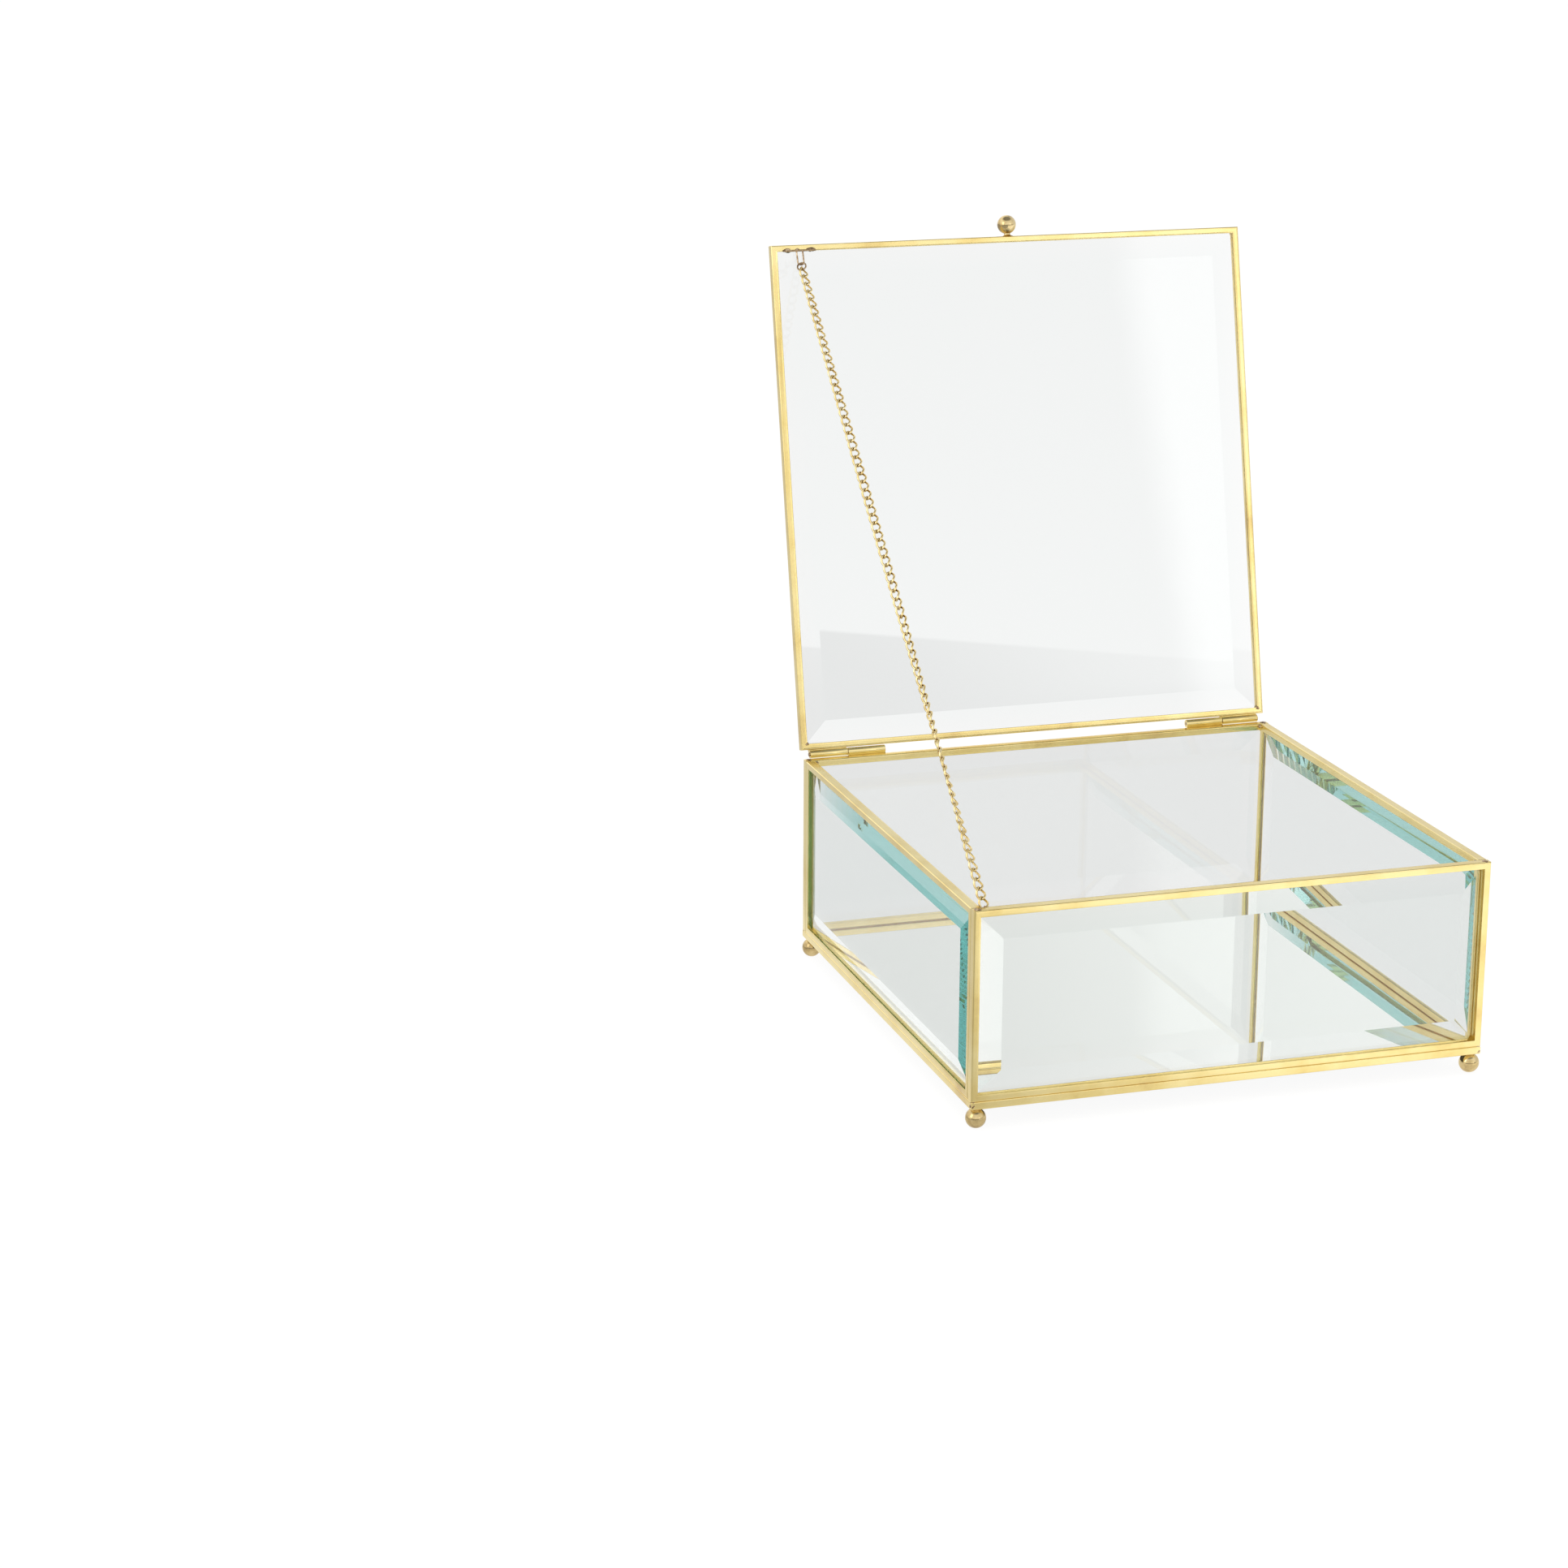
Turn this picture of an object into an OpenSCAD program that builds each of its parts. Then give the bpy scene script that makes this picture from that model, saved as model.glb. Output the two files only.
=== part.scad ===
// Glass casket box: a square case of bevelled glass in brass channel, on ball feet,
// with a mirror floor, two barrel hinges at the back and a lid held open by a taut chain.
// The origin is on the table, under the middle of the case. The front faces -Y.
// The lid is drawn open, at the angle where the chain stops it.

/* [Case] */
// Outer width and depth of the square case
case_w = 254; // [200:1:320]
// Height of the framed glass walls
wall_h = 90.8; // [60:0.1:140]
// How far the lid leans open from its closed place, in degrees
open_angle = 102.7; // [95:0.1:112]
// Gap between the case's rim and the closed lid
lid_gap = 1.3; // [1.2:0.1:2]

/* [Brass channel] */
// Width of the channel's outer web round the walls and the lid
web_w = 4.8; // [4.4:0.1:6]
// Width of the channel's outer web round the floor
base_web_w = 3.8; // [3.2:0.1:5]
// Width of the channel's two face legs
leg_w = 3.2; // [2.6:0.1:4]
// Thickness of the channel's metal
metal_t = 0.4; // [0.3:0.05:0.5]

/* [Glass] */
// Width of the bevel round each pane
bevel_w = 13.6; // [8:0.1:20]
// Thickness left at a bevelled pane's edge
edge_t = 1.1; // [1:0.1:3]
// Play between a pane's edge and the bottom of its channel
pane_play = 0.2; // [0.1:0.05:0.4]

/* [Feet and knob] */
// Diameter of the brass balls used as feet and as the knob
ball_d = 9.6; // [8:0.1:12]
// Distance from the case's sides to a foot's middle
foot_inset = 3.7; // [3.6:0.1:8]
// Height of the flat worn on the bottom of each foot
foot_flat = 0.2; // [0.1:0.05:0.4]
// Length of the solder neck between a ball and the brass that it sits on
neck_l = 0.2; // [0.1:0.05:0.6]
// Length of the knob's neck
knob_neck_l = 1.2; // [0.8:0.1:3]

/* [Hinges] */
// Outer diameter of the hinge tubes
knuckle_d = 4; // [3.6:0.1:5]
// Diameter of the hinge pins
pin_d = 2; // [1.4:0.1:2.4]
// Radial play of a pin in the lid's tube
pin_play = 0.05; // [0.02:0.01:0.1]
// Length of a whole hinge
hinge_l = 40; // [30:1:60]
// Distance from the case's side to a hinge's outer end
hinge_inset = 4; // [2:0.5:20]
// Play between the tubes and the brass that they turn past
hinge_play = 0.3; // [0.2:0.05:0.5]
// Height of the hinge axis above the rim
hinge_rise = 1.4; // [1.2:0.1:2]

/* [Lid chain] */
// Wire diameter of the chain's links
link_wire_d = 0.9; // [0.7:0.05:1.1]
// Outer width of a link
link_w = 4.5; // [4:0.1:5.5]
// Play between two links that hook into each other
link_play = 0.1; // [0.05:0.05:0.2]
// Wire diameter of the staple, the eye and the end ring
hook_wire_d = 0.8; // [0.7:0.05:1]
// Outer diameter of the end ring
ring_d = 4.8; // [4.4:0.1:6]
// Distance from the case's left side to the eye in its corner
eye_inset = 7.3; // [7.2:0.1:12]
// Distance from the lid's left side to the staple
staple_inset = 14.7; // [13:0.1:30]
// Distance from the lid's front edge to the bend of the staple's loop
staple_reach = 10.2; // [8:0.1:14]
// Length of the rod that the staple is soldered on by
staple_rod_l = 17; // [12:0.5:20]

/* [Hidden] */
$fn = 64;
cut = 1; // overshoot of a cutting shape past the surface that it cuts

half_w = case_w / 2;
base_z = ball_d - foot_flat + neck_l;
wall_z = base_z + base_web_w;
rim_z = wall_z + wall_h;
lid_z = rim_z + lid_gap;
side_l = case_w - 2 * web_w; // the side panels fit between the front and the back ones

hinge_y = half_w + knuckle_d / 2 + hinge_play;
hinge_z = rim_z + hinge_rise;
knuckle_l = (hinge_l - hinge_play) / 2;
pin_head_l = 0.5; // how far a pin stands out of its outer tube

RUNS = 15; // stretches of chain that stay straight
RUN_LINKS = 5;
link_r = (link_w - link_wire_d) / 2;
hook_gap = link_wire_d + link_play; // between the wire centres of two hooked links
ring_r = (ring_d - hook_wire_d) / 2;

brass = [0.87, 0.74, 0.45];
solder = [0.71, 0.58, 0.40];
clear_glass = [0.86, 0.93, 0.92, 0.35];
silvered = [0.80, 0.83, 0.83];

// ---- channel and panes -------------------------------------------------------

// One strip of U-channel along +X, its web at y = 0, open towards +Y, mitred at both ends.
module strip(length, web) {
    difference() {
        linear_extrude(web)
            polygon([[0, 0], [length, 0], [length - leg_w, leg_w], [leg_w, leg_w]]);
        translate([-cut, metal_t, metal_t])
            cube([length + 2 * cut, leg_w, web - 2 * metal_t]);
    }
}

// The strip on one side of a panel lying in the XY plane: 0 bottom, 1 right, 2 top, 3 left.
module panel_strip(side, width, height, web) {
    corner = [[0, 0], [width, 0], [width, height], [0, height]][side];
    color(brass)
        translate(corner)
            rotate(90 * side)
                strip(side % 2 == 0 ? width : height, web);
}

// A bevel's profile across a pane of this size: flat below, sloped towards both edges above.
module pane_profile(size, thick) {
    polygon([
        [0, 0], [size, 0], [size, edge_t],
        [size - bevel_w, thick], [bevel_w, thick], [0, edge_t]
    ]);
}

// A pane bevelled on its outer face, which is its upper one here.
module bevelled_pane(width, height) {
    inset = metal_t + pane_play;
    glass_w = width - 2 * inset;
    glass_h = height - 2 * inset;
    thick = web_w - 2 * metal_t;
    color(clear_glass)
        translate([inset, inset, metal_t])
            intersection() {
                translate([0, glass_h, 0])
                    rotate([90, 0, 0])
                        linear_extrude(glass_h)
                            pane_profile(glass_w, thick);
                rotate([90, 0, 90])
                    linear_extrude(glass_w)
                        pane_profile(glass_h, thick);
            }
}

// ---- where each panel stands ---------------------------------------------------

// A panel is drawn in the XY plane with its inner face at z = 0. These put it in its place.
module at_front() {
    translate([-half_w, -half_w + web_w, wall_z]) rotate([90, 0, 0]) children();
}

module at_back() {
    translate([half_w, half_w - web_w, wall_z]) rotate([90, 0, 180]) children();
}

module at_left() {
    translate([-half_w + web_w, half_w - web_w, wall_z]) rotate([90, 0, -90]) children();
}

module at_right() {
    translate([half_w - web_w, -half_w + web_w, wall_z]) rotate([90, 0, 90]) children();
}

module at_base() {
    translate([-half_w, -half_w, base_z]) children();
}

// What is on the lid is drawn with the lid closed, then swung open about the hinge axis.
module swung_open() {
    translate([0, hinge_y, hinge_z])
        rotate([-open_angle, 0, 0])
            translate([0, -hinge_y, -hinge_z])
                children();
}

module at_lid() {
    swung_open() translate([-half_w, -half_w, lid_z]) children();
}

module front_channel(side) at_front() panel_strip(side, case_w, wall_h, web_w);
module back_channel(side) at_back() panel_strip(side, case_w, wall_h, web_w);
module left_channel(side) at_left() panel_strip(side, side_l, wall_h, web_w);
module right_channel(side) at_right() panel_strip(side, side_l, wall_h, web_w);
module base_channel(side) at_base() panel_strip(side, case_w, case_w, base_web_w);
module lid_channel(side) at_lid() panel_strip(side, case_w, case_w, web_w);

module front_pane() at_front() bevelled_pane(case_w, wall_h);
module back_pane() at_back() bevelled_pane(case_w, wall_h);
module left_pane() at_left() bevelled_pane(side_l, wall_h);
module right_pane() at_right() bevelled_pane(side_l, wall_h);
module lid_pane() at_lid() bevelled_pane(case_w, case_w);

module mirror_floor() {
    inset = metal_t + pane_play;
    color(silvered)
        at_base()
            translate([inset, inset, metal_t])
                cube([case_w - 2 * inset, case_w - 2 * inset, base_web_w - 2 * metal_t]);
}

// ---- feet and knob -------------------------------------------------------------

// A ball foot under one corner; sx and sy say which.
module foot(sx, sy) {
    neck_r = ball_d / 4;
    collar_r = foot_inset - metal_t;
    collar_h = 1;
    color(brass)
        translate([sx * (half_w - foot_inset), sy * (half_w - foot_inset), 0])
            union() {
                intersection() {
                    translate([0, 0, ball_d / 2 - foot_flat])
                        sphere(d = ball_d);
                    translate([-ball_d, -ball_d, 0])
                        cube([2 * ball_d, 2 * ball_d, ball_d]);
                }
                translate([0, 0, base_z - collar_h])
                    cylinder(h = collar_h, r1 = neck_r, r2 = collar_r);
            }
}

// The ball knob on the middle of the lid's front edge.
module knob() {
    neck_r = ball_d / 6;
    flare_h = 0.8;
    color(brass)
        swung_open()
            translate([0, -half_w, lid_z + web_w / 2])
                rotate([90, 0, 0])
                    union() {
                        cylinder(h = flare_h, r1 = 2 * neck_r, r2 = neck_r);
                        cylinder(h = knob_neck_l + ball_d / 4, r = neck_r);
                        translate([0, 0, knob_neck_l + ball_d / 2])
                            sphere(d = ball_d);
                    }
}

// ---- hinges --------------------------------------------------------------------

// A tube along +X round the hinge axis, with a solder fillet of this outline and its bore.
module knuckle(length, bore_d, fillet) {
    difference() {
        union() {
            rotate([0, 90, 0])
                cylinder(h = length, d = knuckle_d);
            rotate([90, 0, 90])
                linear_extrude(length)
                    polygon(fillet);
        }
        translate([-cut, 0, 0])
            rotate([0, 90, 0])
                cylinder(h = length + 2 * cut, d = bore_d);
    }
}

// Puts a hinge piece that is drawn along +X from the hinge's inner end on one side of the back.
module at_hinge(side) {
    mirror([side < 0 ? 1 : 0, 0, 0])
        translate([half_w - hinge_inset - hinge_l, hinge_y, hinge_z])
            children();
}

// The inner tube, soldered to the case's rim; it grips the pin.
module case_knuckle(side) {
    web_y = half_w - hinge_y;
    tube_r = knuckle_d / 2;
    fillet = [
        [web_y, -hinge_rise],
        [web_y, -hinge_rise - tube_r],
        [-0.3 * tube_r, -0.9 * tube_r],
        [-0.6 * tube_r, -0.6 * tube_r]
    ];
    color(brass)
        at_hinge(side)
            knuckle(knuckle_l, pin_d, fillet);
}

// The outer tube, soldered to the lid's edge; it turns on the pin.
module lid_knuckle(side) {
    web_y = half_w - hinge_y;
    tube_r = knuckle_d / 2;
    lid_foot = lid_gap - hinge_rise;
    fillet = [
        [web_y, lid_foot + 0.1],
        [-0.7 * tube_r, 0],
        [-0.3 * tube_r, 0.9 * tube_r],
        [web_y, 1.5 * tube_r]
    ];
    color(brass)
        swung_open()
            at_hinge(side)
                translate([knuckle_l + hinge_play, 0, 0])
                    knuckle(knuckle_l, pin_d + 2 * pin_play, fillet);
}

module hinge_pin(side) {
    color(solder)
        at_hinge(side)
            rotate([0, 90, 0])
                cylinder(h = hinge_l + pin_head_l, d = pin_d);
}

// ---- chain ---------------------------------------------------------------------

// Where a point of the closed lid is once the lid is open.
function opened(p) = [
    p.x,
    hinge_y + (p.y - hinge_y) * cos(open_angle) + (p.z - hinge_z) * sin(open_angle),
    hinge_z - (p.y - hinge_y) * sin(open_angle) + (p.z - hinge_z) * cos(open_angle)
];

// The eye stands out of the front panel's top channel, close to the front left corner.
eye_r = 1.2;
eye_l = 1.5; // straight part of the eye's two legs
eye_z = rim_z - leg_w / 2;
eye_x = -half_w + eye_inset;
eye_face_y = -half_w + web_w;

// The staple on the closed lid: a rod along the front channel's leg, and a loop that slants
// down from it to the bend that holds the ring.
rod_d = 1;
rod_y = -half_w + leg_w - rod_d / 4;
rod_z = lid_z - 0.4 * rod_d;
loop_r = 1.6;
loop_drop = 1.8; // from the lid's inner face down to the bend
bend_closed = [-half_w + staple_inset, -half_w + staple_reach, lid_z - loop_drop];
loop_run = bend_closed.y - rod_y;
loop_fall = rod_z - bend_closed.z;

// The chain runs straight from the middle of the eye's bend to the bend of the staple's loop.
// Its first link hangs inside the eye's bend, and its last one holds the end ring.
ring_play = 0.05;
eye_mid = [eye_x, eye_face_y + eye_l, eye_z];
chain_v = opened(bend_closed) - eye_mid;
chain_rise = atan2(chain_v.z, norm([chain_v.x, chain_v.y]));
chain_turn = atan2(chain_v.y, chain_v.x);

first_wire = eye_r - (hook_wire_d + link_wire_d) / 2 - ring_play;
last_wire = norm(chain_v) - 2 * ring_r + hook_wire_d + ring_play
    + (hook_wire_d + link_wire_d) / 2 + link_play;
pitch = (last_wire - first_wire - hook_gap) / (RUNS * RUN_LINKS);
link_l = pitch + hook_gap - 2 * link_r; // straight part of a link
ring_mid = norm(chain_v) - ring_r + hook_wire_d + ring_play;
ring_roll = 65; // how far the ring is turned out of the plane of its neighbours

module on_chain(along) {
    translate(eye_mid)
        rotate([0, -chain_rise, chain_turn])
            translate([along, 0, 0])
                children();
}

// Half a ring of wire in the XY plane, bulging towards +X.
module wire_bend(radius, wire_d) {
    rotate(-90)
        rotate_extrude(angle = 180)
            translate([radius, 0])
                circle(d = wire_d);
}

// An oval link along +X, from the middle of its near wire.
module link() {
    for (side = [-1, 1])
        translate([link_r, side * link_r, 0])
            rotate([0, 90, 0])
                cylinder(h = link_l, d = link_wire_d);
    translate([link_r + link_l, 0, 0])
        wire_bend(link_r, link_wire_d);
    translate([link_r, 0, 0])
        rotate(180)
            wire_bend(link_r, link_wire_d);
}

// One straight stretch of chain; each link is turned a quarter against the one before.
module chain_run(run) {
    color(brass)
        for (i = [0 : RUN_LINKS - 1]) {
            number = run * RUN_LINKS + i;
            on_chain(first_wire + number * pitch)
                rotate([number % 2 == 0 ? 0 : 90, 0, 0])
                    link();
        }
}

// The end ring, hooked into the last link and into the staple's loop.
module chain_ring() {
    color(brass)
        on_chain(ring_mid)
            rotate([ring_roll, 0, 0])
                rotate_extrude()
                    translate([ring_r, 0])
                        circle(d = hook_wire_d);
}

// The eye: two short legs out of the channel and a bend between them, upright along Y.
module chain_eye() {
    color(solder)
        translate([eye_x, eye_face_y, eye_z])
            rotate([90, 0, 90]) {
                for (side = [-1, 1])
                    translate([0, side * eye_r, 0])
                        rotate([0, 90, 0])
                            cylinder(h = eye_l, d = hook_wire_d);
                translate([eye_l, 0, 0])
                    wire_bend(eye_r, hook_wire_d);
            }
}

// The staple: a rod soldered along the lid's front channel, two legs and a loop for the ring.
module lid_staple() {
    legs_l = norm([loop_fall, loop_run]) - loop_r;
    color(solder)
        swung_open()
            difference() {
                translate([bend_closed.x, rod_y, rod_z]) {
                    translate([-staple_rod_l / 2, 0, 0])
                        rotate([0, 90, 0])
                            cylinder(h = staple_rod_l, d = rod_d);
                    rotate([-atan2(loop_fall, loop_run), 0, 0])
                        rotate(90) {
                            for (side = [-1, 1])
                                translate([0, side * loop_r, 0])
                                    rotate([0, 90, 0])
                                        cylinder(h = legs_l, d = hook_wire_d);
                            translate([legs_l, 0, 0])
                                wire_bend(loop_r, hook_wire_d);
                        }
                }
                translate([-half_w, -half_w, lid_z])
                    cube([case_w, case_w, web_w]);
            }
}

// ---- the part ------------------------------------------------------------------

SIDES = ["bottom", "right", "top", "left"];
BASE_SIDES = ["front", "right", "back", "left"];
CORNERS = [["front_left", -1, -1], ["front_right", 1, -1], ["back_left", -1, 1], ["back_right", 1, 1]];
HINGE_SIDES = [["left", -1], ["right", 1]];

for (i = [0 : 3]) {
    front_channel(i);
    back_channel(i);
    left_channel(i);
    right_channel(i);
    base_channel(i);
    lid_channel(i);
}
for (corner = CORNERS)
    foot(corner[1], corner[2]);
for (hinge = HINGE_SIDES) {
    case_knuckle(hinge[1]);
    lid_knuckle(hinge[1]);
    hinge_pin(hinge[1]);
}
for (run = [1 : RUNS])
    chain_run(run - 1);
front_pane();
back_pane();
left_pane();
right_pane();
lid_pane();
mirror_floor();
knob();
chain_eye();
lid_staple();
chain_ring();
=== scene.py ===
# %% [markdown]
# # A glass casket box, dressed for its photograph
#
# The box is plate glass held in thin brass channel, with a mirror for a floor, ball feet, a
# framed lid on two barrel hinges and a gilt chain that stops the lid just past upright.
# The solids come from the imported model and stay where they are. This file gives them their
# finishes, replaces the plain links of the chain with twisted ones, adds the maker's solder,
# and sets up the light, the floor and the camera.

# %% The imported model
from math import asin, cos, degrees, pi, radians, sin

import bmesh
import bpy
from mathutils import Matrix, Vector, noise


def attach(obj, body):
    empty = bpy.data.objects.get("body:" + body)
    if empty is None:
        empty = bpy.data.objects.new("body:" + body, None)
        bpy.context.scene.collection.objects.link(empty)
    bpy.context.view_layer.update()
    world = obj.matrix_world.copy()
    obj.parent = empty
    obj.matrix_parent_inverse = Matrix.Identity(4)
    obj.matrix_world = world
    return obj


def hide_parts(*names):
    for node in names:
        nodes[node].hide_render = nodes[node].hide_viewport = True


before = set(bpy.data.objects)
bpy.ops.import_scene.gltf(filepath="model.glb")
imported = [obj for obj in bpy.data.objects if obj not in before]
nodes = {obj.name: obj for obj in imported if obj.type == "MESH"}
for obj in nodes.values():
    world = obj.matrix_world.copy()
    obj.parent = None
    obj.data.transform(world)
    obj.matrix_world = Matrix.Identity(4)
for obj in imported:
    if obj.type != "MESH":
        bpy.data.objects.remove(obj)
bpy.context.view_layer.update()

# %% [markdown]
# ## The camera
#
# The view is from a little to the left of the box, looking down on it. A camera could be
# turned by three angles, but two directions say it more plainly: where it looks, and what is
# right for it. Those were worked out from the box's own corners, and the third direction, up,
# is their cross product. A long lens keeps the uprights nearly parallel.

# %% The camera
sensor_mm = 36.0
lens_mm = 85.14
camera_place = (-0.6675, -1.5923, 0.6246)
looking = Vector((0.2826, 0.9163, -0.2839)).normalized()
rightward = Vector((0.9559, -0.2938, 0.0032)).normalized()

camera_data = bpy.data.cameras.new("photo_camera")
camera_data.sensor_width = sensor_mm
camera_data.lens = lens_mm
camera = bpy.data.objects.new("photo_camera", camera_data)
bpy.context.collection.objects.link(camera)
scene = bpy.context.scene
scene.camera = camera
scene.view_settings.view_transform = "Standard"

upward = rightward.cross(looking).normalized()
rightward = looking.cross(upward)
axes = Matrix((rightward, upward, -looking)).transposed().to_4x4()
camera.matrix_world = Matrix.Translation(camera_place) @ axes
print("camera looks down by", round(-degrees(asin(looking.z)), 1), "degrees")

# %% [markdown]
# ## Helpers for materials
#
# Glass and polished brass have hardly a look of their own: they show what stands around them.
# The floor and the room are therefore part of the finish, and they are made of shader nodes
# like the finishes themselves. Nodes could be drawn by hand in the editor, but written down
# they can be read and changed. Five short helpers keep that readable: they start a material,
# add a node, turn a value into a smooth step, mix two values, and slant a value's levels.

# %% Helpers for materials
def new_material(name):
    """A node material, its tree and its Principled shader."""
    material = bpy.data.materials.new(name)
    material.use_nodes = True
    tree = material.node_tree
    return material, tree, tree.nodes["Principled BSDF"]


def add(tree, kind, **settings):
    """Adds a node. A setting is one of its own properties."""
    node = tree.nodes.new(kind)
    for key, value in settings.items():
        setattr(node, key, value)
    return node


def ramp_between(tree, value, start, end, low, high, curve="SMOOTHSTEP"):
    """Goes from low to high as value goes from start to end, and stays level outside."""
    node = add(tree, "ShaderNodeMapRange", interpolation_type=curve)
    for socket, number in zip(("From Min", "From Max", "To Min", "To Max"),
                              (start, end, low, high)):
        node.inputs[socket].default_value = number
    tree.links.new(value, node.inputs["Value"])
    return node.outputs["Result"]


def mixed(tree, factor, off, on):
    """off where factor is 0 and on where it is 1; each is a number or a socket."""
    node = add(tree, "ShaderNodeMix", data_type="FLOAT")
    tree.links.new(factor, node.inputs["Factor"])
    for socket, value in (("A", off), ("B", on)):
        if isinstance(value, float):
            node.inputs[socket].default_value = value
        else:
            tree.links.new(value, node.inputs[socket])
    return node.outputs["Result"]


def slanted(tree, along, across, slope):
    """The value along + slope * across, which is level on a slanting line."""
    node = add(tree, "ShaderNodeMath", operation="MULTIPLY_ADD")
    node.inputs[1].default_value = slope
    tree.links.new(across, node.inputs[0])
    tree.links.new(along, node.inputs[2])
    return node.outputs[0]


print("five helpers for materials are ready")

# %% [markdown]
# ## The floor
#
# The floor is a wide sheet of white paper. Most of its brightness is its own, so it reads as
# plain white, and the rest is lit, so the box's shadow stays a soft grey on it. Seen through
# the glass, the part near the box has a painted shade, a tone a little darker, up to a
# slanting edge that crosses the lower lid. Polished brass sees the paper in front of the box
# with a painted shade at the left, where the light would be weaker, so the front strips run
# from deep gold at the left to pale gold at the right. More lamps could do that too, but a
# tone that is painted on the paper can be placed exactly and makes no hard highlights.

# %% The paper's tones
own_light_share = 0.87
tone_seen_directly = 1.07
tone_behind_box = 0.83
tone_past_edge = 0.965
edge_slope = 0.67

paper, tree, shader = new_material("white_paper")
shader.inputs["Base Color"].default_value = (0.92, 0.92, 0.92, 1)
shader.inputs["Roughness"].default_value = 0.9
shader.inputs["Specular IOR Level"].default_value = 0.2

spot = add(tree, "ShaderNodeSeparateXYZ")
tree.links.new(add(tree, "ShaderNodeTexCoord").outputs["Object"], spot.inputs[0])
spot_x, spot_y = spot.outputs["X"], spot.outputs["Y"]

# Painted reflection: brass sees the paper in front of the box darker at the left, brighter at
# the right.
to_right = ramp_between(tree, spot_x, -0.20, 0.09, 0.44, 1.40)
to_left = ramp_between(tree, spot_x, -0.135, -0.16, 1.0, 0.72)
in_front = ramp_between(tree, spot_y, -0.10, -0.17, 0.0, 1.0)
in_metal = mixed(tree, in_front, to_left, to_right)

# Painted shade: through the glass the paper near the box shows darker, up to a slanting edge.
lighter_right = ramp_between(tree, spot_x, 0.05, 0.33, 0.82, 0.93)
away = ramp_between(tree, spot_y, 0.45, 0.60, 0.0, 1.0)
near_box = mixed(tree, away, tone_behind_box, lighter_right)
slant = slanted(tree, spot_y, spot_x, edge_slope)
past_edge = ramp_between(tree, slant, 0.825, 0.84, 0.0, 1.0)
through_glass = mixed(tree, past_edge, near_box, tone_past_edge)
print("paper tones:", len(tree.nodes), "nodes")

# %% [markdown]
# A ray that has passed through glass counts as a reflection too, so the look through glass is
# tested before the reflection. The glow is shown only to rays that are seen: by the camera, in
# a reflection or through glass. Light that falls on the box from below comes from the lit part.

# %% The paper's own light
def larger(tree, one, two):
    """The larger of two values."""
    node = add(tree, "ShaderNodeMath", operation="MAXIMUM")
    tree.links.new(one, node.inputs[0])
    tree.links.new(two, node.inputs[1])
    return node.outputs[0]


path = add(tree, "ShaderNodeLightPath")
seen_directly = path.outputs["Is Camera Ray"]
seen_in_metal = path.outputs["Is Glossy Ray"]
seen_in_glass = path.outputs["Is Transmission Ray"]
seen = larger(tree, larger(tree, seen_directly, seen_in_glass), seen_in_metal)
not_glass = mixed(tree, seen_in_metal, tone_seen_directly, in_metal)
tone = mixed(tree, seen_in_glass, not_glass, through_glass)
glow = add(tree, "ShaderNodeEmission")
tree.links.new(tone, glow.inputs["Strength"])
share = mixed(tree, seen, 0.0, own_light_share)
blend = add(tree, "ShaderNodeMixShader")
tree.links.new(share, blend.inputs[0])
tree.links.new(shader.outputs[0], blend.inputs[1])
tree.links.new(glow.outputs[0], blend.inputs[2])
tree.links.new(blend.outputs[0], tree.nodes["Material Output"].inputs["Surface"])
print("paper material:", paper.name, len(tree.nodes), "nodes")

# %% [markdown]
# The sheet itself is a flat grid, far wider than the view, a hair below the balls. Geometry
# that a script works out is turned into an object by the same few lines each time, so they
# are a helper too.

# %% The sheet
sheet_reach = 9.0
below_balls = 0.0002


def piece_of(bm, name, material):
    """Turns finished geometry into an object of its own, with one material."""
    mesh = bpy.data.meshes.new(name)
    bm.to_mesh(mesh)
    bm.free()
    mesh.materials.append(material)
    piece = bpy.data.objects.new(name, mesh)
    bpy.context.collection.objects.link(piece)
    return piece


sheet_bm = bmesh.new()
bmesh.ops.create_grid(sheet_bm, x_segments=8, y_segments=8, size=sheet_reach)
paper_floor = piece_of(sheet_bm, "paper_floor", paper)
paper_floor.location.z = -below_balls
print("floor:", tuple(round(v, 2) for v in paper_floor.dimensions))

# %% [markdown]
# ## The room
#
# The room is white all round under a dark ceiling, which polished balls and wire show as
# their dark side, and the mirror when it is seen from high up. Low in front of the box is one
# more dark stretch, for the lines along the polished edges. Above that, at the right, stands
# a bright screen, and the lid mirrors it as the pale streak down its right side. Panels and
# curtains could be modelled round the box, but painting the world by direction does the same
# without anything that could come into view, and it lets the glass and the brass have a tone
# each.

# %% The room's tones, by direction
dark_stretch = 0.12
high_front = 1.05
screen_in_brass = 2.2
screen_in_glass = 1.9
front_tone_in_glass = 0.94
ceiling_tone = 0.28
screen_slope = 0.1

world = bpy.data.worlds.new("studio_room")
scene.world = world
world.use_nodes = True
tree = world.node_tree
tree.nodes.clear()

parts = add(tree, "ShaderNodeSeparateXYZ")
tree.links.new(add(tree, "ShaderNodeTexCoord").outputs["Generated"], parts.inputs[0])
way_x, way_y, way_z = (parts.outputs[axis] for axis in "XYZ")

ahead = ramp_between(tree, way_y, -0.55, -0.15, 1.0, 0.0)
not_low = ramp_between(tree, way_z, 0.04, 0.10, 0.0, 1.0)
high_up = ramp_between(tree, way_z, 0.32, 0.45, 0.0, 1.0)
ceiling = ramp_between(tree, way_z, 0.70, 0.90, 0.0, 1.0)

screen_way = slanted(tree, way_x, way_z, screen_slope)
screen_start = ramp_between(tree, screen_way, 0.397, 0.410, 0.0, 1.0)
screen_end = ramp_between(tree, screen_way, 0.46, 0.52, 1.0, 0.0)
screen = mixed(tree, screen_start, 0.0, screen_end)
print("room directions:", len(tree.nodes), "nodes")

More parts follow.
